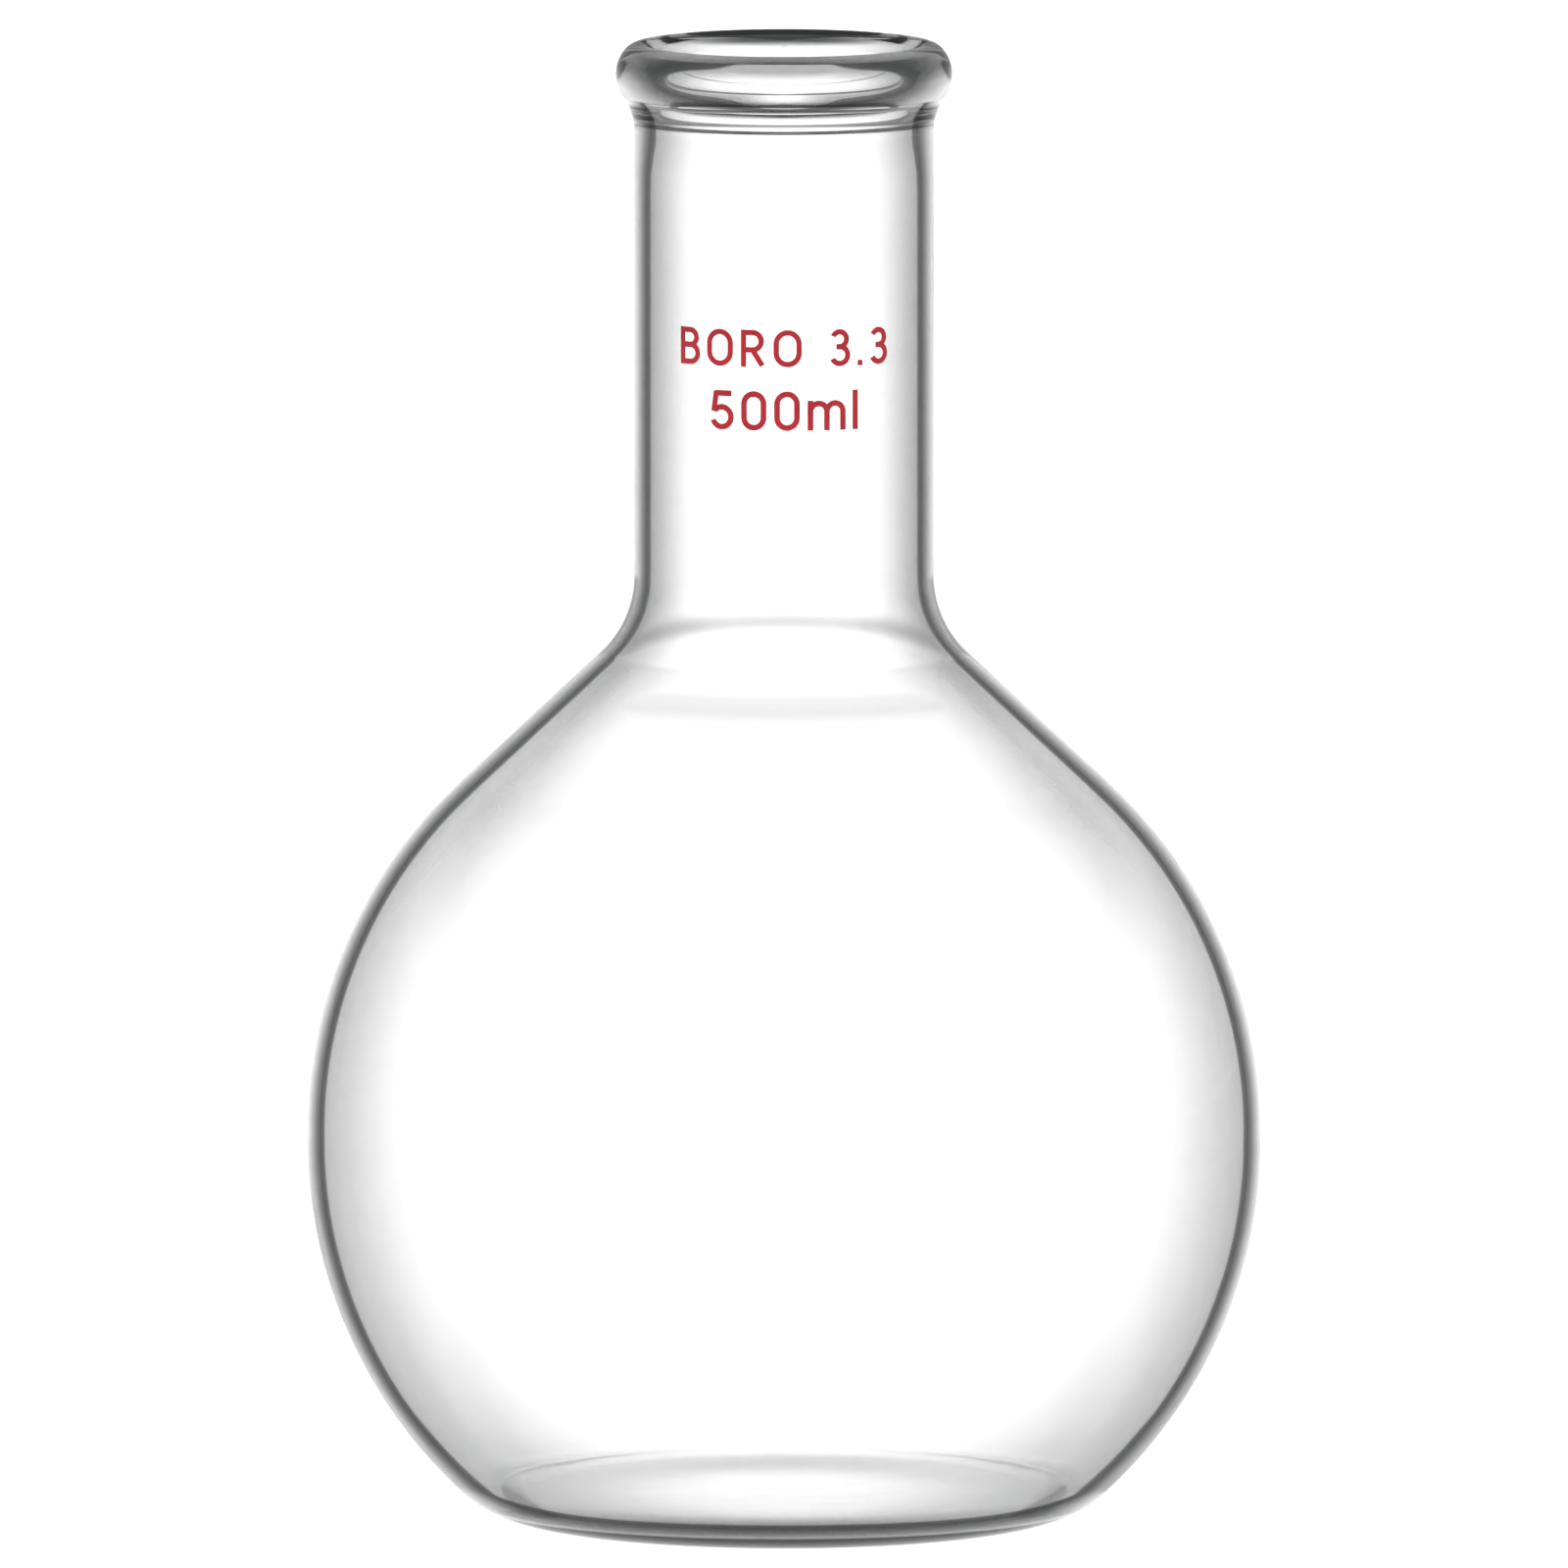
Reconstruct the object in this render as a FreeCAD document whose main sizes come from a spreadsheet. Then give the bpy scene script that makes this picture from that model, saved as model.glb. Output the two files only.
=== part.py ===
"""A 500 ml flat-bottomed boiling flask in borosilicate glass, with a beaded rim and a fired enamel mark.

The flask is one blown vessel. Its wall is drawn once, as a section turned about the vertical axis, and
the solid is then parted on level planes into the zones that a glassblower names: base, bulb, shoulder,
neck and rim. The zones meet face to face. Units are millimetres, +Z is up, the origin is the centre of
the flat underside, and the enamel mark faces -Y.
"""

import FreeCAD, Part

import math
import os

import Sketcher
from FreeCAD import Placement, Rotation, Vector

DRIVING_DIMENSIONS = {
    # bulb, with the two halves of its outside turned about centres a little apart
    "overall_height": 163.0,
    "bulb_diameter": 105.0,
    "bulb_low_centre": 41.6,
    "bulb_high_centre": 42.65,
    "cavity_diameter": 101.8,
    "cavity_centre": 42.1,
    # base, flat inside and out
    "floor_thickness": 2.4,
    "heel_radius": 12.0,
    # shoulder, with its angle measured from the axis in degrees
    "shoulder_angle": 46.9,
    "shoulder_radius": 12.0,
    "shoulder_inner_radius": 13.6,
    # neck
    "neck_diameter": 33.0,
    "neck_bore": 29.8,
    # rim, a tube end melted down to a bead, and the two small ledges that this leaves inside it
    "rim_diameter": 37.0,
    "rim_widest_drop": 3.5,
    "rim_under_radius": 3.9,
    "rim_root_radius": 6.6,
    "lip_radius": 2.1,
    "mouth_diameter": 27.6,
    "mouth_depth": 5.1,
    "collar_bore": 28.9,
    "collar_depth": 8.1,
    "ledge_height": 0.5,
    # level planes between the zones
    "bulb_top": 81.0,
    "shoulder_top": 104.5,
    "neck_top": 153.0,
    # enamel mark, with letter sizes as shares of a capital's height
    "enamel_thickness": 0.05,
    "stroke_share": 0.148,
    "capacity_baseline": 121.9,
    "capacity_capital": 4.35,
    "capacity_spacing": 0.195,
    "glass_type_baseline": 128.9,
    "glass_type_capital": 4.1,
    "glass_type_spacing": 0.225,
}
ZONES = {
    "flat_base": ("0", "dims.floor_thickness"),
    "bulb": ("dims.floor_thickness", "dims.bulb_top"),
    "shoulder": ("dims.bulb_top", "dims.shoulder_top"),
    "neck_tube": ("dims.shoulder_top", "dims.neck_top"),
    "beaded_rim": ("dims.neck_top", "dims.overall_height"),
}
MARKS = {"capacity_mark": ("capacity", "500ml"), "glass_type_mark": ("glass_type", "BORO 3.3")}

doc = FreeCAD.newDocument("flat_bottom_flask")


# ------------------------------------------------------------------ driving dimensions
def make_sheet():
    """The spreadsheet whose cells drive every size."""
    made = doc.addObject("Spreadsheet::Sheet", "dims")
    for row, (alias, value) in enumerate(DRIVING_DIMENSIONS.items(), start=1):
        made.set(f"A{row}", alias.replace("_", " "))
        made.set(f"B{row}", str(value))
        made.setAlias(f"B{row}", alias)
    doc.recompute()
    return made


sheet = make_sheet()


def dim(alias):
    """A driving dimension as a number, in millimetres or degrees."""
    return float(sheet.get(alias))


# ------------------------------------------------------------------ section of the wall
class Section:
    """A closed sketch drawn segment after segment, each with a name. x is the radius and y the height."""

    def __init__(self, sketch):
        self.sketch = sketch
        self.index, self.first, self.last = {}, {}, {}

    def line(self, name, start, end):
        self.index[name] = self.sketch.addGeometry(Part.LineSegment(start, end), False)
        self.first[name], self.last[name] = 1, 2

    def arc(self, name, centre, start, end, clockwise=False):
        """A sketch stores every arc anticlockwise, so a clockwise one has its ends the other way round."""
        low, high = (end, start) if clockwise else (start, end)
        circle = Part.Circle(centre, Vector(0, 0, 1), centre.distanceToPoint(start))
        angles = [math.atan2(point.y - centre.y, point.x - centre.x) for point in (low, high)]
        self.index[name] = self.sketch.addGeometry(Part.ArcOfCircle(circle, *angles), False)
        self.first[name], self.last[name] = (2, 1) if clockwise else (1, 2)

    def constrain(self, kind, *where):
        return self.sketch.addConstraint(Sketcher.Constraint(kind, *where))

    def meet(self, one, other, smooth):
        kind = "Tangent" if smooth else "Coincident"
        self.constrain(kind, self.index[one], self.last[one], self.index[other], self.first[other])

    def start_of(self, name):
        return self.index[name], self.first[name]

    def end_of(self, name):
        return self.index[name], self.last[name]

    def centre_of(self, name):
        return self.index[name], 3

    def drive(self, label, expression, kind, *where):
        """A named size that follows an expression of the sheet's cells."""
        size = float(self.sketch.evalExpression(expression))
        start = math.radians(size) if kind == "Angle" else size
        number = self.constrain(kind, *where, start)
        self.sketch.renameConstraint(number, label)
        self.sketch.setExpression(f"Constraints.{label}", expression)

    def radius(self, label, expression, name):
        self.drive(label, expression, "Radius", self.index[name])

    def across(self, label, expression, point):
        self.drive(label, expression, "DistanceX", *ORIGIN, *point)

    def height(self, label, expression, point):
        self.drive(label, expression, "DistanceY", *ORIGIN, *point)

    def on_axis(self, point):
        self.constrain("PointOnObject", *point, VERTICAL_AXIS)


ORIGIN = (-1, 1)
VERTICAL_AXIS = -2


def draw_outside(section):
    """The outer face, from the middle of the underside up to the crest of the rim."""
    bulb_r, neck_r, rim_r = dim("bulb_diameter") / 2, dim("neck_diameter") / 2, dim("rim_diameter") / 2
    low, high = Vector(0, dim("bulb_low_centre")), Vector(0, dim("bulb_high_centre"))
    slope = math.radians(dim("shoulder_angle"))
    outward = Vector(math.cos(slope), math.sin(slope))


    heel_r = dim("heel_radius")
    ring_r = math.sqrt((bulb_r - heel_r) ** 2 - (low.y - heel_r) ** 2)
    heel = Vector(ring_r, heel_r)
    heel_top = low + (heel - low).normalize() * bulb_r
    section.line("underside", Vector(0, 0), Vector(ring_r, 0))
    section.arc("heel", heel, Vector(ring_r, 0), heel_top)

    cone_foot = high + outward * bulb_r
    section.arc("bulb_low", low, heel_top, Vector(bulb_r, low.y))
    section.line("belt", Vector(bulb_r, low.y), Vector(bulb_r, high.y))
    section.arc("bulb_high", high, Vector(bulb_r, high.y), cone_foot)

    bend = dim("shoulder_radius")
    bend_r = neck_r + bend
    bend_y = (bend + cone_foot.dot(outward) - bend_r * outward.x) / outward.y
    cone_top = Vector(bend_r, bend_y) - outward * bend
    section.line("cone", cone_foot, cone_top)
    section.arc("shoulder_bend", Vector(bend_r, bend_y), cone_top, Vector(neck_r, bend_y), clockwise=True)

    top, drop, lip_r = dim("overall_height"), dim("rim_widest_drop"), dim("lip_radius")
    widest = Vector(rim_r, top - drop)
    under = widest - Vector(dim("rim_under_radius"), 0)
    root_r, touching = neck_r + dim("rim_root_radius"), dim("rim_root_radius") + dim("rim_under_radius")
    root = Vector(root_r, widest.y - math.sqrt(touching**2 - (root_r - under.x) ** 2))
    root_top = under + (root - under).normalize() * dim("rim_under_radius")
    section.line("neck", Vector(neck_r, bend_y), Vector(neck_r, root.y))
    section.arc("rim_root", root, Vector(neck_r, root.y), root_top, clockwise=True)
    section.arc("rim_under", under, root_top, widest)

    # the arc over the widest place touches the smaller arc of the lip, whose centre is known
    lip = Vector(dim("mouth_diameter") / 2 + lip_r, top - lip_r)
    inset, above = rim_r - lip_r - lip.x, drop - lip_r
    over = Vector(rim_r - lip_r - (inset**2 + above**2) / (2 * inset), widest.y)
    touch = lip + (lip - over).normalize() * lip_r
    section.arc("rim_over", over, widest, touch)
    section.arc("crest", lip, touch, Vector(lip.x, top))


def draw_inside(section):
    """The inner face, from the crest of the rim down to the middle of the floor."""
    cavity_r, bore_r, mouth_r = dim("cavity_diameter") / 2, dim("neck_bore") / 2, dim("mouth_diameter") / 2
    centre = Vector(0, dim("cavity_centre"))
    slope = math.radians(dim("shoulder_angle"))
    outward = Vector(math.cos(slope), math.sin(slope))

    top, lip_r, collar_r = dim("overall_height"), dim("lip_radius"), dim("collar_bore") / 2
    lip = Vector(mouth_r + lip_r, top - lip_r)
    mouth_end = Vector(mouth_r, top - dim("mouth_depth"))
    collar_start = Vector(collar_r, mouth_end.y - dim("ledge_height"))
    collar_end = Vector(collar_r, top - dim("collar_depth"))
    bore_start = Vector(bore_r, collar_end.y - dim("ledge_height"))
    section.arc("lip", lip, Vector(lip.x, top), Vector(mouth_r, lip.y))
    section.line("mouth", Vector(mouth_r, lip.y), mouth_end)
    section.line("mouth_ledge", mouth_end, collar_start)
    section.line("collar", collar_start, collar_end)
    section.line("collar_ledge", collar_end, bore_start)

    bend = dim("shoulder_inner_radius")
    cone_foot = centre + outward * cavity_r
    bend_r = bore_r + bend
    bend_y = (bend + cone_foot.dot(outward) - bend_r * outward.x) / outward.y
    cone_top = Vector(bend_r, bend_y) - outward * bend
    section.line("neck_bore", bore_start, Vector(bore_r, bend_y))
    section.arc("inner_bend", Vector(bend_r, bend_y), Vector(bore_r, bend_y), cone_top)
    section.line("inner_cone", cone_top, cone_foot)

    floor_y = dim("floor_thickness")
    floor_r = math.sqrt(cavity_r**2 - (centre.y - floor_y) ** 2)
    section.arc("cavity", centre, cone_foot, Vector(floor_r, floor_y), clockwise=True)
    section.line("floor", Vector(floor_r, floor_y), Vector(0, floor_y))
    section.line("middle", Vector(0, floor_y), Vector(0, 0))


def constrain_section(section):
    """Joins the segments and drives every size from the sheet."""
    sharp_after = ("mouth", "mouth_ledge", "collar", "collar_ledge", "cavity", "floor", "middle")
    names = list(section.index)
    for one, other in zip(names, names[1:] + names[:1]):
        section.meet(one, other, smooth=one not in sharp_after)
    for name in ("underside", "floor"):
        section.constrain("Horizontal", section.index[name])
    for name in ("belt", "neck", "mouth", "collar", "neck_bore", "middle"):
        section.constrain("Vertical", section.index[name])
    for name in ("bulb_low", "bulb_high", "cavity"):
        section.on_axis(section.centre_of(name))
    section.constrain("Coincident", *section.start_of("underside"), *ORIGIN)
    section.constrain("Horizontal", *section.centre_of("rim_over"), *section.end_of("rim_under"))
    section.constrain("Vertical", *section.centre_of("lip"), *section.start_of("lip"))
    section.constrain("Equal", section.index["crest"], section.index["lip"])
    section.constrain("Parallel", section.index["cone"], section.index["inner_cone"])

    section.radius("heel_radius", "dims.heel_radius", "heel")
    section.radius("low_radius", "dims.bulb_diameter / 2", "bulb_low")
    section.height("low_centre", "dims.bulb_low_centre", section.centre_of("bulb_low"))
    section.height("high_centre", "dims.bulb_high_centre", section.centre_of("bulb_high"))
    section.drive("slope", "dims.shoulder_angle", "Angle", VERTICAL_AXIS, 1, *section.start_of("cone"))
    section.radius("bend_radius", "dims.shoulder_radius", "shoulder_bend")
    section.across("neck_radius", "dims.neck_diameter / 2", section.start_of("neck"))
    section.radius("root_radius", "dims.rim_root_radius", "rim_root")
    section.radius("under_radius", "dims.rim_under_radius", "rim_under")
    section.across("rim_radius", "dims.rim_diameter / 2", section.end_of("rim_under"))
    section.height("widest", "dims.overall_height - dims.rim_widest_drop", section.end_of("rim_under"))
    section.height("top", "dims.overall_height", section.start_of("lip"))
    section.radius("lip_radius", "dims.lip_radius", "lip")
    section.across("mouth_radius", "dims.mouth_diameter / 2", section.start_of("mouth"))
    section.height("mouth_end", "dims.overall_height - dims.mouth_depth", section.end_of("mouth"))
    section.drive("mouth_ledge", "dims.ledge_height", "DistanceY", *section.end_of("mouth_ledge"),
                  *section.start_of("mouth_ledge"))
    section.across("collar_radius", "dims.collar_bore / 2", section.start_of("collar"))
    section.height("collar_end", "dims.overall_height - dims.collar_depth", section.end_of("collar"))
    section.drive("collar_ledge", "dims.ledge_height", "DistanceY", *section.end_of("collar_ledge"),
                  *section.start_of("collar_ledge"))
    section.across("bore_radius", "dims.neck_bore / 2", section.start_of("neck_bore"))
    section.radius("inner_bend_radius", "dims.shoulder_inner_radius", "inner_bend")
    section.height("cavity_centre", "dims.cavity_centre", section.centre_of("cavity"))
    section.radius("cavity_radius", "dims.cavity_diameter / 2", "cavity")
    section.height("floor_level", "dims.floor_thickness", section.start_of("floor"))


def make_vessel():
    """The wall of the whole vessel, turned about the vertical axis."""
    body = doc.addObject("PartDesign::Body", "vessel")
    sketch = body.newObject("Sketcher::SketchObject", "wall_section")
    plane = next(feature for feature in body.Origin.OriginFeatures if feature.Role == "XZ_Plane")
    sketch.AttachmentSupport = [(plane, "")]
    sketch.MapMode = "FlatFace"
    section = Section(sketch)
    draw_outside(section)
    draw_inside(section)
    constrain_section(section)
    doc.recompute()
    turned = body.newObject("PartDesign::Revolution", "turned_wall")
    turned.Profile = sketch
    turned.ReferenceAxis = (sketch, ["V_Axis"])
    turned.Angle = 360.0
    return body


# ------------------------------------------------------------------ zones of the vessel
def make_zone(name, vessel, bottom, top):
    """The stretch of the vessel between two level planes, given as expressions of the sheet's cells."""
    slab = doc.addObject("Part::Cylinder", name + "_slab")
    slab.setExpression("Radius", "dims.bulb_diameter")
    slab.setExpression("Height", f"{top} - {bottom}")
    slab.setExpression("Placement.Base.z", bottom)
    zone = doc.addObject("Part::Common", name)
    zone.Base, zone.Tool = vessel, slab
    return zone


# ------------------------------------------------------------------ enamel mark
def bow(x, y, radius, start, end):
    """An arc of a letter's centre line as three points, its angles in degrees from the x axis."""
    angles = [math.radians(angle) for angle in (start, (start + end) / 2, end)]
    return [(x + radius * math.cos(angle), y + radius * math.sin(angle)) for angle in angles]


def oval(width, half):
    """A closed letter of one capital's height with round ends."""
    radius = width / 2 - half
    low, high = width / 2, 1 - width / 2
    sides = [[(x, low), (x, high)] for x in (half, width - half)]
    return [bow(width / 2, high, radius, 0, 180), bow(width / 2, low, radius, 180, 360), *sides]


def bowl(right, low, high, half):
    """The bowl of a B or an R, from the stem out to its right side and back."""
    radius = (high - low) / 2
    centre = right - half - radius
    bars = [[(half, y), (centre, y)] for y in (low, high)]
    return [bow(centre, low + radius, radius, 90, -90), *bars]


def alphabet(half):
    """Each letter's width and the centre lines of its strokes, for capitals of height 1.

    A stroke has two points where it is straight and three where it is an arc, and half is half its width.
    """
    low, high, stem = half, 1 - half, [(half, 0), (half, 1)]
    arch = (0.5 - half) / 2
    spring = 0.76 - half - arch
    return {
        " ": (0.30, []),
        ".": (2 * half, [[(0, half), (2 * half, half)]]),
        "0": (0.65, oval(0.65, half)),
        "3": (
            0.60,
            [
                bow(0.29, high - 0.2, 0.2, 155, -90),
                bow(0.30, (high - 0.4 + low) / 2, (high - 0.4 - low) / 2, 90, -155),
                [(0.20, high - 0.4), (0.30, high - 0.4)],
            ],
        ),
        "5": (
            0.65,
            [
                [(0.135, high), (0.59, high)],
                [(0.175, 0.97), (0.105, 0.46)],
                bow(0.325, 0.325, 0.325 - half, 146, -162),
            ],
        ),
        "B": (0.65, [stem, *bowl(0.61, 0.53, high, half), *bowl(0.65, low, 0.53, half)]),
        "O": (0.76, oval(0.76, half)),
        "R": (0.66, [stem, *bowl(0.63, 0.46, high, half), [(0.32, 0.46), (0.59, 0.035)]]),
        "l": (2 * half, [stem]),
        "m": (
            1.0,
            [
                [(half, 0), (half, 0.76)],
                bow(half + arch, spring, arch, 180, 0),
                [(0.5, 0), (0.5, spring)],
                bow(0.5 + arch, spring, arch, 180, 0),
                [(1 - half, 0), (1 - half, spring)],
            ],
        ),
    }


def stroke_outline(points, half):
    """The edges round one stroke, with its ends cut square."""
    if len(points) == 2:
        start, end = points
        along = (end - start).normalize()
        side = Vector(-along.z, 0, along.x) * half
        corners = [start + side, end + side, end - side, start - side]
        return [Part.makeLine(one, two) for one, two in zip(corners, corners[1:] + corners[:1])]
    centre = Part.Arc(*points).toShape().Curve.Center
    rims = []
    for offset in (half, -half):
        radius = (points[0] - centre).Length + offset
        rims.append([centre + (point - centre).normalize() * radius for point in points])
    arcs = [Part.Arc(*rim).toShape() for rim in rims]
    return [arcs[0], Part.makeLine(rims[0][2], rims[1][2]), arcs[1], Part.makeLine(rims[1][0], rims[0][0])]


def make_letter(strokes, capital, corner):
    """One letter as a solid that stands in front of the neck and runs into it."""
    half = dim("stroke_share") * capital / 2
    reach = Vector(0, dim("rim_diameter") - dim("neck_diameter"), 0)
    solids = []
    for stroke in strokes:
        points = [corner + Vector(x, 0, y) * capital for x, y in stroke]
        face = Part.Face(Part.Wire(stroke_outline(points, half)))
        solids.append(face.extrude(reach))
    return solids[0].multiFuse(solids[1:]) if solids[1:] else solids[0]


def make_mark(name, line, text):
    """A line of enamel lettering that is wrapped round the front of the neck, centred on the -Y side."""
    capital, spacing = dim(line + "_capital"), dim(line + "_spacing")
    letters = alphabet(dim("stroke_share") / 2)
    length = sum(letters[letter][0] for letter in text) + spacing * (len(text) - 1)
    front, baseline = -dim("rim_diameter") / 2, dim(line + "_baseline")
    solids, pen = [], -length / 2
    for letter in text:
        width, strokes = letters[letter]
        if strokes:
            solid = make_letter(strokes, capital, Vector(-width * capital / 2, front, baseline))
            turn = (pen + width / 2) * capital / (dim("neck_diameter") / 2)
            solid.rotate(Vector(), Vector(0, 0, 1), math.degrees(turn))
            solids.append(solid)
        pen += width + spacing
    lettering = doc.addObject("Part::Feature", name + "_lettering")
    lettering.Shape = Part.makeCompound(solids)

    faces = []
    for side, radius in (
        ("outer", "dims.neck_diameter / 2 + dims.enamel_thickness"),
        ("inner", "dims.neck_diameter / 2"),
    ):
        face = doc.addObject("Part::Cylinder", f"{name}_{side}_face")
        face.setExpression("Radius", radius)
        face.setExpression("Height", "dims.neck_top")
        faces.append(face)
    coat = doc.addObject("Part::Cut", name + "_coat")
    coat.Base, coat.Tool = faces
    mark = doc.addObject("Part::Common", name)
    mark.Base, mark.Tool = lettering, coat
    return mark


# ------------------------------------------------------------------ the flask
def check_document():
    """Stops where anything failed to recompute."""
    failed = [item.Name for item in doc.Objects if "Invalid" in item.State or "Error" in item.State]
    if failed:
        raise RuntimeError("failed to recompute: " + ", ".join(failed))


def write_parts(made):
    """One STEP file for each sub-part, named after its label."""
    for item in made:
        if item.Shape.isNull() or not item.Shape.isValid():
            raise RuntimeError("bad shape: " + item.Label)
    os.makedirs("parts", exist_ok=True)
    for item in made:
        item.Shape.exportStep(f"parts/{item.Label}.step")
        print(f"{item.Label}: {len(item.Shape.Solids)} solid(s), {item.Shape.Volume:.1f} mm3")


vessel = make_vessel()
subparts = [make_zone(name, vessel, *planes) for name, planes in ZONES.items()]
subparts += [make_mark(name, *mark) for name, mark in MARKS.items()]
doc.recompute()
for subpart in subparts:
    subpart.Label = subpart.Name
    subpart.Placement = Placement(Vector(), Rotation())
doc.recompute()
check_document()
write_parts(subparts)
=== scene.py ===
"""Looks of a 500 ml flat-bottomed boiling flask: one piece of clear blown glass with red fired enamel.

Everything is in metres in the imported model's frame: +Z is up, the flask stands on z = 0, and the enamel
faces -Y. The glass is a single turned mesh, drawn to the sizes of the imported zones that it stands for.
"""

import math

import bpy
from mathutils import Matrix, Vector


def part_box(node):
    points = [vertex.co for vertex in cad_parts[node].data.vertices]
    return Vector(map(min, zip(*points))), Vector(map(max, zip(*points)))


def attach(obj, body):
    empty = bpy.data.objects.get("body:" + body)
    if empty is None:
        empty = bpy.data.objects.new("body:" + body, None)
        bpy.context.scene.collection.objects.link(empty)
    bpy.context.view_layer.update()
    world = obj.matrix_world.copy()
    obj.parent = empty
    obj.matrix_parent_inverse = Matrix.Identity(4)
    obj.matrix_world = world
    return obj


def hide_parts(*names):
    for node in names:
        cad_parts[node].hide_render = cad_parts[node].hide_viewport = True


MM = 0.001
GLASS_ZONES = ("flat_base", "bulb", "shoulder", "neck_tube", "beaded_rim")
MARKS = ("capacity_mark", "glass_type_mark")

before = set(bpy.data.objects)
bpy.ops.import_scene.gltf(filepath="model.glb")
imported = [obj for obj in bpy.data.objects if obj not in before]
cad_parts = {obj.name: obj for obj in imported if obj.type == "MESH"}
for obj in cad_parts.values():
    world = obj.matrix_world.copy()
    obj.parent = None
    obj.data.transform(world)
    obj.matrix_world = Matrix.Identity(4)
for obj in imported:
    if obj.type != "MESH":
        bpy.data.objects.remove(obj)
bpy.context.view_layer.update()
scene = bpy.context.scene


# ------------------------------------------------------------------ camera
VIEW_ELEVATION = math.radians(6.5)
LENS = 1000.0
SENSOR = 36.0
FRAME_WIDTH = 172.5 * MM
AIM_HEIGHT = 81.1 * MM
CLIP = (0.1, 40.0)


def make_camera():
    """A long lens that looks along +Y and a little down."""
    data = bpy.data.cameras.new("camera")
    data.lens, data.sensor_width = LENS, SENSOR
    distance = FRAME_WIDTH * LENS / SENSOR
    camera = bpy.data.objects.new("camera", data)
    back = Vector((0, -math.cos(VIEW_ELEVATION), math.sin(VIEW_ELEVATION)))
    camera.location = Vector((0, 0, AIM_HEIGHT)) + back * distance
    camera.rotation_euler = (math.pi / 2 - VIEW_ELEVATION, 0, 0)
    data.clip_start, data.clip_end = CLIP
    scene.collection.objects.link(camera)
    scene.camera = camera


make_camera()


# ------------------------------------------------------------------ outline of the wall
ARC_STEP = math.radians(2.5)
LINE_STEP = 2.0 * MM
SAME_PLACE = 1e-7
SAME_NORMAL = 0.999


class Outline:
    """Rows of a half section, each with its place, outward normal and curvature, drawn in one stroke.

    Places and normals are pairs of radius and height. The glass lies to the left of the stroke, so the
    normal is on its right. Curvature is positive on a crown, negative in a hollow and 0 on a line.
    """

    def __init__(self, r, z):
        self.rows = []
        self.pen = Vector((r, z))

    def put(self, point, normal, bend):
        """Adds a row, unless it only repeats the last one."""
        if self.rows:
            last, last_normal, _ = self.rows[-1]
            if (last - point).length <= SAME_PLACE and last_normal.dot(normal) >= SAME_NORMAL:
                return
        self.rows.append((point, normal, bend))

    def line(self, r, z):
        """A straight run, in even steps."""
        start, end = self.pen, Vector((r, z))
        along = (end - start).normalized()
        normal = Vector((along.y, -along.x))
        steps = max(1, round((end - start).length / LINE_STEP))
        for step in range(steps + 1):
            self.put(start.lerp(end, step / steps), normal, 0.0)
        self.pen = end

    def arc(self, centre, radius, start, end):
        """An arc from one angle to another, in radians. Anticlockwise is a crown and clockwise a hollow."""
        turn = 1 if end > start else -1
        steps = max(3, round(abs(end - start) / ARC_STEP))
        for step in range(steps + 1):
            angle = start + (end - start) * step / steps
            out = Vector((math.cos(angle), math.sin(angle)))
            self.put(centre + out * radius, out * turn, turn / radius)
        self.pen = centre + out * radius

    def corner(self, r, z, next_r, next_z, radius):
        """A straight run to a corner, which is rounded towards the next point."""
        tip, after = Vector((r, z)), Vector((next_r, next_z))
        come, go = (tip - self.pen).normalized(), (after - tip).normalized()
        turn = math.atan2(come.x * go.y - come.y * go.x, come.dot(go))
        back = radius * math.tan(abs(turn) / 2)
        self.line(*(tip - come * back))
        side = Vector((-come.y, come.x)) * math.copysign(radius, turn)
        centre = self.pen + side
        start = math.atan2(-side.y, -side.x)
        self.arc(centre, radius, start, start + turn)


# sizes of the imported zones
BASE_MAX, BULB_MAX, NECK_MAX, RIM_MAX = (
    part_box(zone)[1] for zone in ("flat_base", "bulb", "neck_tube", "beaded_rim")
)
BULB_R, NECK_R, RIM_R = BULB_MAX.x, NECK_MAX.x, RIM_MAX.x
FLOOR_Z, NECK_TOP_Z, TOP_Z = BASE_MAX.z, NECK_MAX.z, RIM_MAX.z
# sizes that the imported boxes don't give
LOWER_CENTRE_Z, UPPER_CENTRE_Z = 41.6 * MM, 42.65 * MM
CAVITY_R, CAVITY_CENTRE_Z = 50.9 * MM, 42.1 * MM
HEEL_R = 12.0 * MM
SLOPE = math.radians(46.9)
BEND_R, INNER_BEND_R = 12.0 * MM, 13.6 * MM
WALL = 1.6 * MM
BORE_R, COLLAR_R, MOUTH_R = 14.9 * MM, 14.45 * MM, 13.8 * MM
WIDEST_DROP, UNDER_R, ROOT_R, LIP_R = 3.5 * MM, 3.9 * MM, 6.6 * MM, 2.1 * MM
MOUTH_DEPTH, COLLAR_DEPTH, LEDGE_HEIGHT = 5.1 * MM, 8.1 * MM, 0.5 * MM
POLISHED_EDGE = 0.25 * MM
FLOOR_CORNER_R = 1.0 * MM
QUARTER_TURN, HALF_TURN = math.pi / 2, math.pi
# outward normal of the shoulder's cone
CONE_NORMAL = Vector((math.cos(SLOPE), math.sin(SLOPE)))


def bend_centre_z(sphere_r, sphere_z, tube_r, bend_r):
    """Height of the centre of the bend between the cone, which touches the sphere, and a tube."""
    reach = bend_r + sphere_z * math.sin(SLOPE) + sphere_r
    return (reach - (tube_r + bend_r) * math.cos(SLOPE)) / math.sin(SLOPE)


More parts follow.
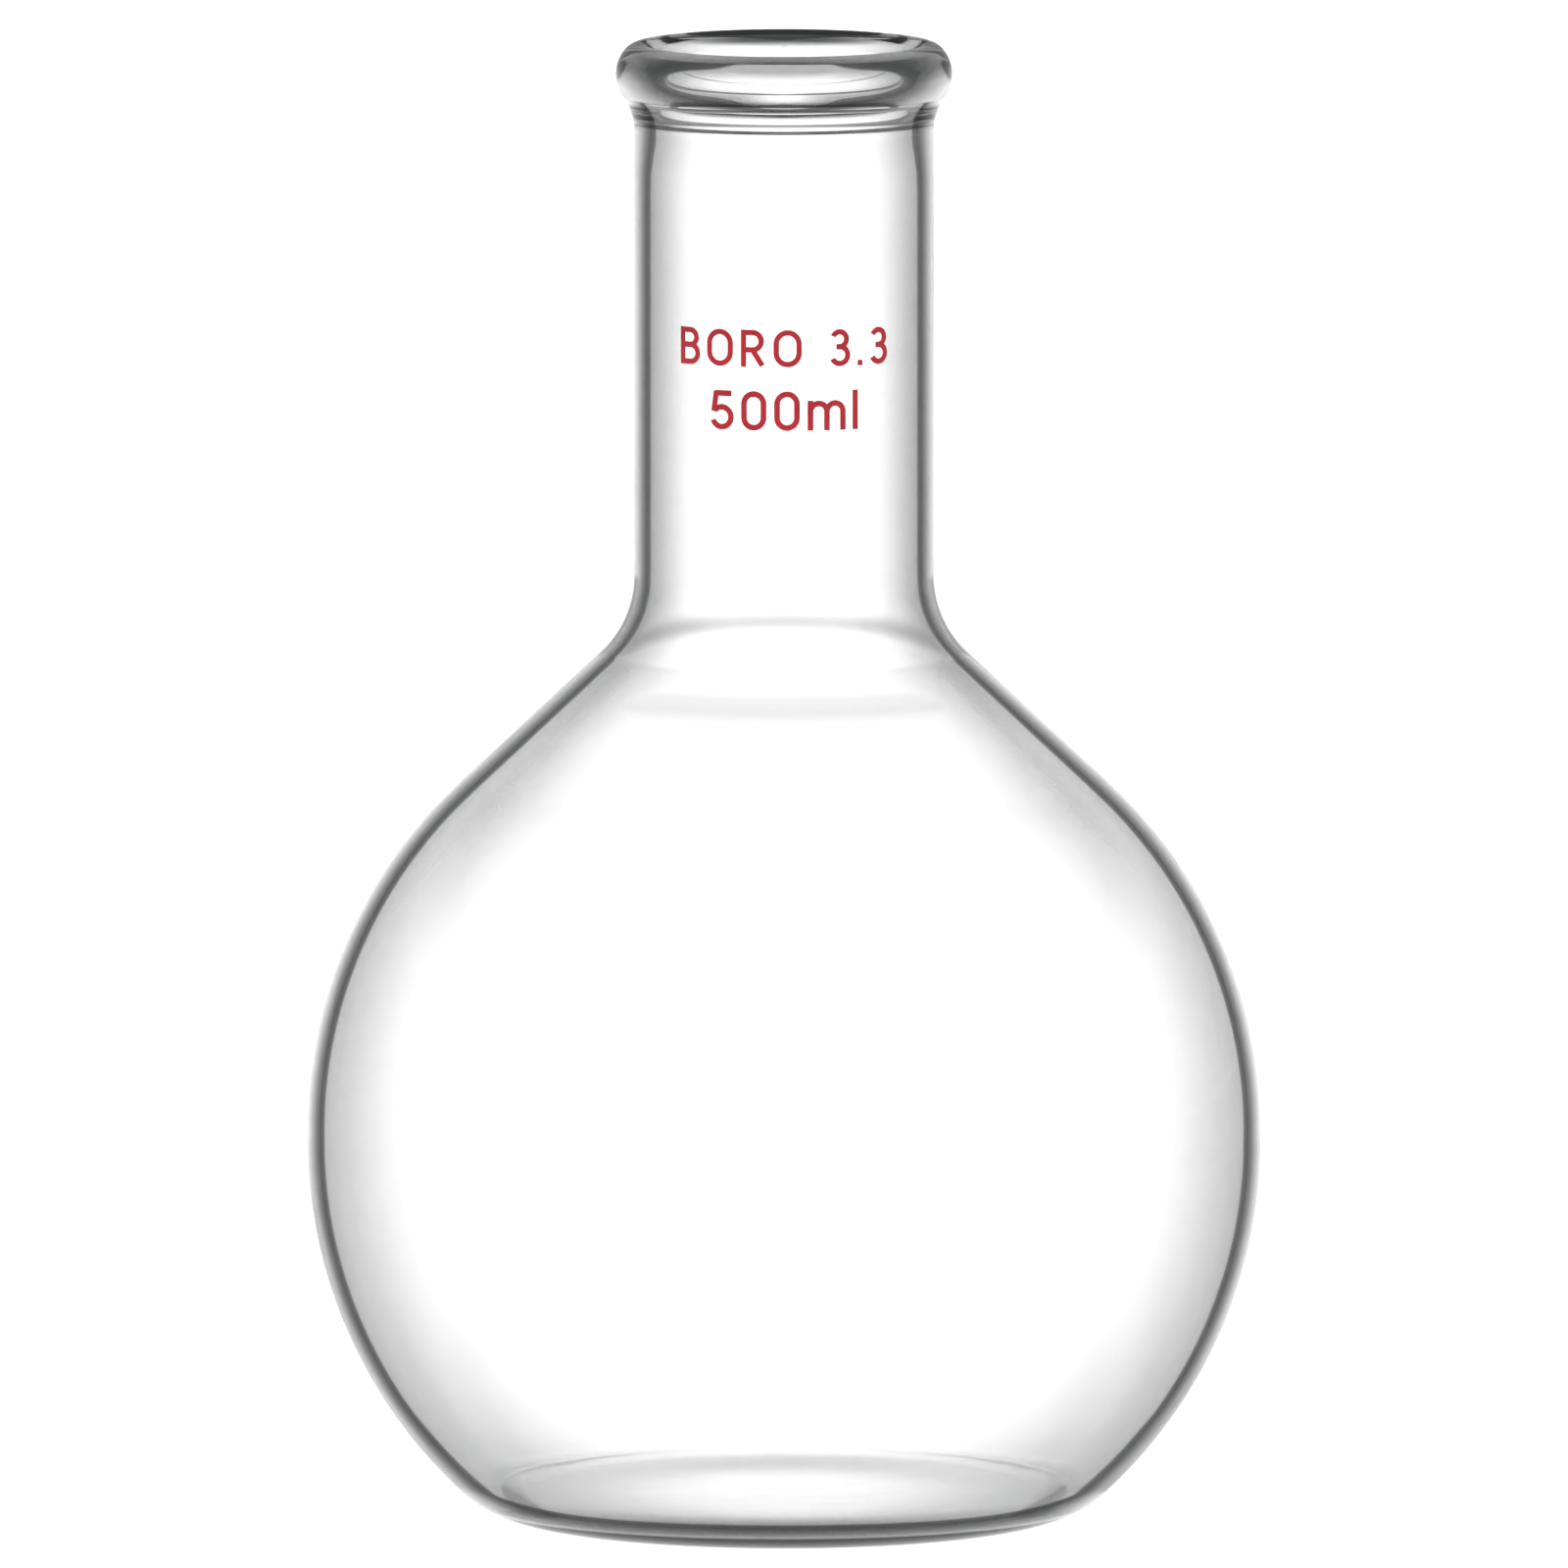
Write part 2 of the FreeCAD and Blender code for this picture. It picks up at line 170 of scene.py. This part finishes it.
def draw_body(outline):
    """The underside, heel and bulb, and the shoulder up to its bend into the neck."""
    underside_r = math.sqrt((BULB_R - HEEL_R) ** 2 - (LOWER_CENTRE_Z - HEEL_R) ** 2)
    heel_angle = math.atan2(HEEL_R - LOWER_CENTRE_Z, underside_r)
    outline.line(underside_r, 0)
    outline.arc(Vector((underside_r, HEEL_R)), HEEL_R, -QUARTER_TURN, heel_angle)
    outline.arc(Vector((0, LOWER_CENTRE_Z)), BULB_R, heel_angle, 0)
    outline.arc(Vector((0, UPPER_CENTRE_Z)), BULB_R, 0, SLOPE)
    bend = Vector((NECK_R + BEND_R, bend_centre_z(BULB_R, UPPER_CENTRE_Z, NECK_R, BEND_R)))
    outline.line(*(bend - CONE_NORMAL * BEND_R))
    outline.arc(bend, BEND_R, HALF_TURN + SLOPE, HALF_TURN)


def draw_bead(outline):
    """The neck, and the bead over its widest place to the inner edge of the lip."""
    widest_z = TOP_Z - WIDEST_DROP
    under = Vector((RIM_R - UNDER_R, widest_z))
    across = under.x - (NECK_R + ROOT_R)
    root = Vector((NECK_R + ROOT_R, widest_z - math.sqrt((UNDER_R + ROOT_R) ** 2 - across**2)))
    rise = math.atan2(widest_z - root.y, across)
    outline.line(NECK_R, root.y)
    outline.arc(root, ROOT_R, HALF_TURN, rise)
    outline.arc(under, UNDER_R, rise - HALF_TURN, 0)

    # the arc over the widest place touches the smaller arc of the lip
    lip = Vector((MOUTH_R + LIP_R, TOP_Z - LIP_R))
    inset, above = RIM_R - LIP_R - lip.x, WIDEST_DROP - LIP_R
    over = Vector((RIM_R - LIP_R - (inset**2 + above**2) / (2 * inset), widest_z))
    touch = math.atan2(lip.y - over.y, lip.x - over.x)
    outline.arc(over, RIM_R - over.x, 0, touch)
    outline.arc(lip, LIP_R, touch, HALF_TURN)


def draw_cavity(outline):
    """The mouth, the two ledges, the bore, and the cavity down to the middle of the floor."""
    mouth_z, collar_z = TOP_Z - MOUTH_DEPTH, TOP_Z - COLLAR_DEPTH
    bend_z = bend_centre_z(CAVITY_R, CAVITY_CENTRE_Z, BORE_R, INNER_BEND_R)
    inner_bend = Vector((BORE_R + INNER_BEND_R, bend_z))
    outline.corner(MOUTH_R, mouth_z, COLLAR_R, mouth_z - LEDGE_HEIGHT, POLISHED_EDGE)
    outline.corner(COLLAR_R, mouth_z - LEDGE_HEIGHT, COLLAR_R, collar_z, POLISHED_EDGE)
    outline.corner(COLLAR_R, collar_z, BORE_R, collar_z - LEDGE_HEIGHT, POLISHED_EDGE)
    outline.corner(BORE_R, collar_z - LEDGE_HEIGHT, BORE_R, inner_bend.y, POLISHED_EDGE)
    outline.line(BORE_R, inner_bend.y)
    outline.arc(inner_bend, INNER_BEND_R, HALF_TURN, HALF_TURN + SLOPE)
    cavity = Vector((0, CAVITY_CENTRE_Z))
    outline.line(*(cavity + CONE_NORMAL * CAVITY_R))

    # the cavity's wall runs into the floor round a small radius
    tight = CAVITY_R - FLOOR_CORNER_R
    corner_z = FLOOR_Z + FLOOR_CORNER_R
    corner_angle = -math.asin((CAVITY_CENTRE_Z - corner_z) / tight)
    corner_r = tight * math.cos(corner_angle)
    outline.arc(cavity, CAVITY_R, SLOPE, corner_angle)
    outline.arc(Vector((corner_r, corner_z)), FLOOR_CORNER_R, corner_angle, -QUARTER_TURN)
    outline.line(0, FLOOR_Z)


def glass_outline():
    """The whole wall, from the middle of the underside, up the outside, and down the inside."""
    outline = Outline(0, 0)
    draw_body(outline)
    draw_bead(outline)
    draw_cavity(outline)
    return outline.rows


# ------------------------------------------------------------------ what the wall's painted shade depends on
# above this height the bore is taken to narrow evenly, where the real one has two ledges
NARROWING_Z = 149.0 * MM
# how much thinner than the bulb's the wall of the bead is taken to be, along its section
BEAD_THINNING = 0.5 * MM
# slopes that face up have a paler fade of painted shade, which ends sooner
PAINTED_FADE_FALL, PAINTED_FADE_HURRY = 0.1, 0.4
# between these heights the painted fade becomes the neck's, which is darker and reaches further in
NECK_BLEND = (88.0 * MM, 100.0 * MM)
NECK_PAINTED_FADE, NECK_PAINTED_FADE_RATE = 0.12, 0.7
# soft bands of painted shade round the bend of the shoulder, for the dark surroundings that the bend
# refracts: lowest and highest point and darkness of each
INNER_CREASE = (94.0 * MM, 98.6 * MM, 0.44)
OUTER_CREASE = (88.4 * MM, 95.6 * MM, 0.36)
# a soft band of painted shade round the foot, seen through the floor: its inner and outer radius, and its
# darkness
FOOT_BAND = (10.0 * MM, 36.0 * MM)
FOOT_SHADE = 0.75
# upward part of the outward normal over which painted shade turns the crown of the lip dark, for the dark
# overhead that it refracts
CROWN_TILT = (0.15, 0.45)
# inward part of that normal over which the crown's outer painted shade becomes its inner
CROWN_TURN = (-0.1, 0.1)
CROWN_OUTER, CROWN_INNER = 0.68, 0.9
# the painted shade on its very top clears again where it is looked at squarely
CREST_TILT = (0.6, 0.95)
CREST_RELIEF = 0.85
ON_AXIS = 1e-9


def share_of(value, low, high):
    """Where a value lies between two others, as 0 to 1."""
    return min(1.0, max(0.0, (value - low) / (high - low)))


def hump(value, low, high):
    """A smooth rise to 1 midway between two values, and 0 outside them."""
    return math.sin(math.pi * share_of(value, low, high)) ** 2


def shade_marks(point, normal, bend, cavity):
    """A row's value for each mesh attribute that the wall's painted shade reads. Its lengths are in
    millimetres.
    """
    height = point.y
    inner_r = BORE_R + (MOUTH_R - BORE_R) * share_of(height, NARROWING_Z, TOP_Z - MOUTH_DEPTH)
    bead = share_of(height, NECK_TOP_Z, TOP_Z - WIDEST_DROP)
    slim = share_of(height, *NECK_BLEND)
    slope = max(0.0, normal.y) * (1 - slim)
    crown = share_of(normal.y, *CROWN_TILT) if height > TOP_Z - WIDEST_DROP else 0.0
    crown *= CROWN_OUTER + (CROWN_INNER - CROWN_OUTER) * share_of(-normal.x, *CROWN_TURN)
    low, high, crease = INNER_CREASE if cavity else OUTER_CREASE
    return {
        "bend_along": bend * MM,
        "bend_around": normal.x / point.x * MM if point.x >= ON_AXIS else 0.0,
        "wall_along": (WALL - BEAD_THINNING * bead if height > HEEL_R else FLOOR_Z) / MM,
        "wall_around": (point.x - inner_r if height > NARROWING_Z else WALL) / MM,
        "outside": 0.0 if cavity and height < TOP_Z - LIP_R else 1.0,
        "painted_fade": 1 - PAINTED_FADE_FALL * slope + NECK_PAINTED_FADE * slim,
        "painted_fade_rate": 1 + PAINTED_FADE_HURRY * slope - (1 - NECK_PAINTED_FADE_RATE) * slim,
        "lip": share_of(height, TOP_Z - WIDEST_DROP, TOP_Z - LIP_R),
        "crown": crown,
        "crest": CREST_RELIEF * share_of(normal.y, *CREST_TILT),
        "crease": crease * hump(height, low, high),
        "foot": 0.0 if cavity or height >= HEEL_R else FOOT_SHADE * hump(point.x, *FOOT_BAND),
    }


# ------------------------------------------------------------------ mesh
TURN_STEPS = 224


def turned_faces(rings):
    """Faces between rings of point numbers. A ring of one point is on the axis."""
    faces = []
    for low, high in zip(rings, rings[1:]):
        for step in range(TURN_STEPS):
            after = (step + 1) % TURN_STEPS
            if len(low) == 1:
                faces.append((low[0], high[after], high[step]))
            elif len(high) == 1:
                faces.append((low[step], low[after], high[0]))
            else:
                faces.append((low[step], low[after], high[after], high[step]))
    return faces


def turn(name, rows):
    """The rows turned about Z, with the outline's own normals, so that the glass refracts without facets."""
    points, normals, rings, marks = [], [], [], {}
    highest = max(range(len(rows)), key=lambda row: rows[row][0].y)
    for row, (point, normal, bend) in enumerate(rows):
        steps = 1 if point.x < ON_AXIS else TURN_STEPS
        rings.append(range(len(points), len(points) + steps))
        for step in range(steps):
            angle = math.tau * step / TURN_STEPS
            points.append((point.x * math.cos(angle), point.x * math.sin(angle), point.y))
            normals.append((normal.x * math.cos(angle), normal.x * math.sin(angle), normal.y))
        for key, value in shade_marks(point, normal, bend, cavity=row > highest).items():
            marks.setdefault(key, []).extend([value] * steps)
    faces = turned_faces(rings)
    mesh = bpy.data.meshes.new(name)
    mesh.from_pydata(points, [], faces)
    mesh.polygons.foreach_set("use_smooth", [True] * len(faces))
    mesh.update()
    mesh.normals_split_custom_set_from_vertices(normals)
    for key, values in marks.items():
        mesh.attributes.new(key, "FLOAT", "POINT").data.foreach_set("value", values)
    piece = bpy.data.objects.new(name, mesh)
    scene.collection.objects.link(piece)
    return piece


# ------------------------------------------------------------------ materials
def new_material(name):
    """An empty node material, its links and a function that adds nodes to it."""
    material = bpy.data.materials.new(name)
    material.use_nodes = True
    tree = material.node_tree
    tree.nodes.clear()

    def add(kind, **values):
        node = tree.nodes.new("ShaderNode" + kind)
        for key, value in values.items():
            setattr(node, key, value)
        return node

    return material, add, tree.links.new


def ramp(add, link, source, stops, reach=1.0):
    """A colour ramp, as greys, over stops whose places run from 0 to reach."""
    node = add("ValToRGB")
    elements = node.color_ramp.elements
    while len(elements) < len(stops):
        elements.new(0.5)
    for element, (place, level) in zip(elements, stops):
        element.position = place / reach
        element.color = (level, level, level, 1)
    link(source, node.inputs["Fac"])
    return node.outputs["Color"]


def noise(add, link, place, scale, detail):
    """Noise from 0 to 1, with its scale in waves per metre."""
    node = add("TexNoise")
    node.inputs["Scale"].default_value = scale
    node.inputs["Detail"].default_value = detail
    link(place, node.inputs["Vector"])
    return node.outputs["Fac"]


def bump(add, link, height, strength, distance):
    """A normal that is tilted by a height from 0 to 1."""
    node = add("Bump")
    node.inputs["Strength"].default_value = strength
    node.inputs["Distance"].default_value = distance
    link(height, node.inputs["Height"])
    return node.outputs["Normal"]


# painted shade along the outline, for the dark surroundings that the wall's edge refracts: how dark, by how
# deep under the outside, in wall thicknesses, the line of sight passes
EDGE_LINE = ((0.0, 0.25), (0.3, 0.58), (0.6, 0.82), (0.9, 0.94), (1.15, 0.88), (1.4, 0.0))
EDGE_LINE_REACH = 1.5
# the painted fade takes over from the painted line here, and is given by the share of the curve's radius
EDGE_LINE_END = 1.22
EDGE_PAINTED_FADE = ((0.0, 0.64), (0.05, 0.54), (0.1, 0.42), (0.15, 0.31), (0.2, 0.21), (0.3, 0.08), (0.4, 0.0))
# the least curvature, per millimetre, where the surface is flat or hollow
LEAST_BEND = 0.005
# how far the painted line of shade is darkened at the lip
LIP_SHADE = 0.6
# how far round from the front and back of the lip the painted shade on its crown stays dark
CROWN_SPREAD = 4.0
# how much of the foot's band of painted shade is gone at the sides
FOOT_SIDES = 0.75
# how fast the foot's band of painted shade shows as the underside is seen at more of a slant
FOOT_GLANCING = 3.8


def painted_wall_shade(add, link):
    """Painted shade on the glass, by the angle it is seen at, for the dark surroundings that real edges
    refract.

    It is a painted line, pale at the outline and dark inside it, a painted fade that follows, and the bands
    of painted shade that the mesh carries: two round the shoulder, one round the foot and the crown of the
    lip.
    """

    def calculate(operation, *sources):
        node = add("Math", operation=operation)
        for socket, source in zip(node.inputs, sources):
            if isinstance(source, float):
                socket.default_value = source
            else:
                link(source, socket)
        return node.outputs["Value"]

    def product(first, *others):
        for other in others:
            first = calculate("MULTIPLY", first, other)
        return first

    def but_for(source):
        """1 less a value."""
        return calculate("SUBTRACT", 1.0, source)

    def attribute(name):
        return add("Attribute", attribute_name=name).outputs["Fac"]

    facing = but_for(add("LayerWeight").outputs["Facing"])
    sideways = add("LayerWeight")
    link(add("Tangent", direction_type="RADIAL", axis="Z").outputs["Tangent"], sideways.inputs["Normal"])
    sine = calculate("SQRT", but_for(calculate("POWER", facing, 2.0)))
    sunk = but_for(sine)

    # how much of the curve that the sight line grazes runs round the axis, and how much along the outline
    around = calculate("DIVIDE", but_for(sideways.outputs["Facing"]), sine)
    around = calculate("MINIMUM", calculate("POWER", around, 2.0), 1.0)
    along = but_for(around)
    bend = product(attribute("bend_along"), along)
    bend = calculate("MULTIPLY_ADD", attribute("bend_around"), around, bend)
    bend = calculate("MAXIMUM", bend, LEAST_BEND)
    wall = product(attribute("wall_along"), along)
    wall = calculate("MULTIPLY_ADD", attribute("wall_around"), around, wall)
    wall = product(bend, wall)

    depth = calculate("DIVIDE", sunk, wall)
    line = ramp(add, link, calculate("DIVIDE", depth, EDGE_LINE_REACH), EDGE_LINE, EDGE_LINE_REACH)
    thin = calculate("LESS_THAN", depth, EDGE_LINE_END)
    line = but_for(product(but_for(line), but_for(product(attribute("lip"), thin, LIP_SHADE))))
    inside = calculate("SUBTRACT", sunk, product(wall, EDGE_LINE_END))
    painted_fade = ramp(add, link, product(inside, attribute("painted_fade_rate")), EDGE_PAINTED_FADE)
    painted_fade = product(painted_fade, calculate("GREATER_THAN", inside, 0.0), attribute("painted_fade"))

    # the foot's band of painted shade shows where light leaves, and the rest of the painted shade, apart
    # from the crown, where it enters
    leaving = add("NewGeometry").outputs["Backfacing"]
    edge = product(calculate("MAXIMUM", line, painted_fade), attribute("outside"))
    edge = product(calculate("MAXIMUM", edge, attribute("crease")), but_for(leaving))
    ahead = calculate("MULTIPLY_ADD", around, -FOOT_SIDES, 1.0)
    glancing = calculate("MINIMUM", product(but_for(facing), FOOT_GLANCING), 1.0)
    foot = product(leaving, ahead, glancing, attribute("foot"))
    across = but_for(calculate("POWER", around, CROWN_SPREAD))
    crown = product(across, but_for(product(facing, attribute("crest"))), attribute("crown"))
    return calculate("MAXIMUM", calculate("MAXIMUM", edge, foot), crown)


GLASS_IOR = 1.473
GLASS_TINT = (0.55, 0.62, 0.60, 1)
TINT_DENSITY = 6.0
# near-black of the painted shade that is mixed into the glass
PAINTED_SHADE_COLOUR = (0.02, 0.021, 0.021, 1)
# faint waves left by the blowing, longer up and down than across
DRAWN_STRETCH = (1.0, 1.0, 0.35)
RIPPLE_SCALE, RIPPLE_DETAIL, RIPPLE_HEIGHT = 70.0, 2.0, 0.03 * MM
# a trace of film on the fire polish
FILM_SCALE, FILM_DETAIL, FILM_RANGE, FILM_ROUGHNESS = 120.0, 4.0, (0.5, 0.8), 0.03


def glass_material():
    """Clear borosilicate that lets the studio light through to the floor, with painted shade mixed in where
    its edges are seen.
    """
    material, add, link = new_material("clear_glass")
    place = add("TexCoord").outputs["Object"]
    drawn = add("Mapping")
    drawn.inputs["Scale"].default_value = DRAWN_STRETCH
    link(place, drawn.inputs["Vector"])
    ripple = noise(add, link, drawn.outputs["Vector"], RIPPLE_SCALE, RIPPLE_DETAIL)
    film = add("MapRange")
    film.inputs["From Min"].default_value, film.inputs["From Max"].default_value = FILM_RANGE
    film.inputs["To Max"].default_value = FILM_ROUGHNESS
    link(noise(add, link, place, FILM_SCALE, FILM_DETAIL), film.inputs["Value"])

    glass = add("BsdfPrincipled")
    glass.inputs["Base Color"].default_value = (1, 1, 1, 1)
    glass.inputs["IOR"].default_value = GLASS_IOR
    glass.inputs["Transmission Weight"].default_value = 1.0
    link(film.outputs["Result"], glass.inputs["Roughness"])
    link(bump(add, link, ripple, 1.0, RIPPLE_HEIGHT), glass.inputs["Normal"])
    # painted shade: a near-black diffuse mixed into the glass where the wall's painted shade calls for it,
    # for the dark surroundings that real edges refract
    painted_shade = add("BsdfDiffuse")
    painted_shade.inputs["Color"].default_value = PAINTED_SHADE_COLOUR
    edge = add("MixShader")
    link(painted_wall_shade(add, link), edge.inputs["Fac"])
    link(glass.outputs["BSDF"], edge.inputs[1])
    link(painted_shade.outputs["BSDF"], edge.inputs[2])
    mix = add("MixShader")
    link(add("LightPath").outputs["Is Shadow Ray"], mix.inputs["Fac"])
    link(edge.outputs["Shader"], mix.inputs[1])
    link(add("BsdfTransparent").outputs["BSDF"], mix.inputs[2])
    tint = add("VolumeAbsorption")
    tint.inputs["Color"].default_value = GLASS_TINT
    tint.inputs["Density"].default_value = TINT_DENSITY
    output = add("OutputMaterial")
    link(mix.outputs["Shader"], output.inputs["Surface"])
    link(tint.outputs["Volume"], output.inputs["Volume"])
    return material


ENAMEL_REDS = ((0.3, (0.25, 0.006, 0.012, 1)), (0.7, (0.32, 0.010, 0.017, 1)))
ENAMEL_SPECULAR = 0.25
ENAMEL_ROUGHNESS = (0.38, 0.55)
PATCH_SCALE, PATCH_DETAIL = 260.0, 2.0
GRAIN_SCALE, GRAIN_DETAIL, GRAIN_STRENGTH, GRAIN_HEIGHT = 2200.0, 3.0, 0.25, 0.01 * MM


def enamel_material():
    """Red glass enamel, fired on: a little uneven in colour, gloss and surface."""
    material, add, link = new_material("red_enamel")
    place = add("TexCoord").outputs["Object"]
    colour = add("ValToRGB")
    for element, (position, red) in zip(colour.color_ramp.elements, ENAMEL_REDS):
        element.position, element.color = position, red
    link(noise(add, link, place, PATCH_SCALE, PATCH_DETAIL), colour.inputs["Fac"])
    grain = noise(add, link, place, GRAIN_SCALE, GRAIN_DETAIL)
    gloss = add("MapRange")
    gloss.inputs["To Min"].default_value, gloss.inputs["To Max"].default_value = ENAMEL_ROUGHNESS
    link(grain, gloss.inputs["Value"])

    enamel = add("BsdfPrincipled")
    enamel.inputs["Specular IOR Level"].default_value = ENAMEL_SPECULAR
    link(colour.outputs["Color"], enamel.inputs["Base Color"])
    link(gloss.outputs["Result"], enamel.inputs["Roughness"])
    link(bump(add, link, grain, GRAIN_STRENGTH, GRAIN_HEIGHT), enamel.inputs["Normal"])
    link(enamel.outputs["BSDF"], add("OutputMaterial").inputs["Surface"])
    return material


FLOOR_COLOUR = (0.9, 0.9, 0.9, 1)


def floor_material():
    """Plain pale floor."""
    material, add, link = new_material("pale_floor")
    paint = add("BsdfDiffuse")
    paint.inputs["Color"].default_value = FLOOR_COLOUR
    link(paint.outputs["BSDF"], add("OutputMaterial").inputs["Surface"])
    return material


# ------------------------------------------------------------------ the flask
glass = turn("blown_glass", glass_outline())
glass.data.materials.append(glass_material())
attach(glass, "root")
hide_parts(*GLASS_ZONES)

enamel = enamel_material()
for mark in MARKS:
    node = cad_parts[mark]
    node.data.materials.clear()
    node.data.materials.append(enamel)


# ------------------------------------------------------------------ studio
FLOOR_GAP = 0.1 * MM
FLOOR_HALF = 6.0
# level of the studio round the object by the sine of the height over the horizon
STUDIO = ((0.0, 1.4), (0.33, 1.4), (0.48, 0.25), (1.0, 0.04))
LAMP_STRENGTH = 4.2
LAMP_SPREAD = math.radians(60)
LAMP_TILT = math.radians(20)
BOUNCES = 32


def make_floor():
    """A level floor, just under the flask."""
    h = FLOOR_HALF
    mesh = bpy.data.meshes.new("floor")
    corners = [(-h, -h, -FLOOR_GAP), (h, -h, -FLOOR_GAP), (h, h, -FLOOR_GAP), (-h, h, -FLOOR_GAP)]
    mesh.from_pydata(corners, [], [(0, 1, 2, 3)])
    mesh.materials.append(floor_material())
    floor = bpy.data.objects.new("floor", mesh)
    scene.collection.objects.link(floor)


def make_world():
    """White near the horizon and dark overhead, the same all round."""
    world = bpy.data.worlds.new("studio")
    world.use_nodes = True
    tree = world.node_tree
    background = tree.nodes["Background"]

    def add(kind):
        return tree.nodes.new("ShaderNode" + kind)

    place = add("SeparateXYZ")
    tree.links.new(add("TexCoord").outputs["Generated"], place.inputs["Vector"])
    peak = max(level for height, level in STUDIO)
    stops = [(height, level / peak) for height, level in STUDIO]
    tree.links.new(ramp(add, tree.links.new, place.outputs["Z"], stops), background.inputs["Color"])
    background.inputs["Strength"].default_value = peak
    scene.world = world


def make_lamp():
    """Even soft light from above, which isn't mirrored in the glass."""
    data = bpy.data.lights.new("overhead", "SUN")
    data.energy = LAMP_STRENGTH
    data.angle = LAMP_SPREAD
    lamp = bpy.data.objects.new("overhead", data)
    lamp.rotation_euler = (LAMP_TILT, 0, 0)
    lamp.visible_glossy = lamp.visible_transmission = False
    scene.collection.objects.link(lamp)


make_floor()
make_world()
make_lamp()
scene.view_settings.view_transform = "Standard"
scene.cycles.max_bounces = BOUNCES
scene.cycles.transmission_bounces = BOUNCES
scene.cycles.transparent_max_bounces = BOUNCES
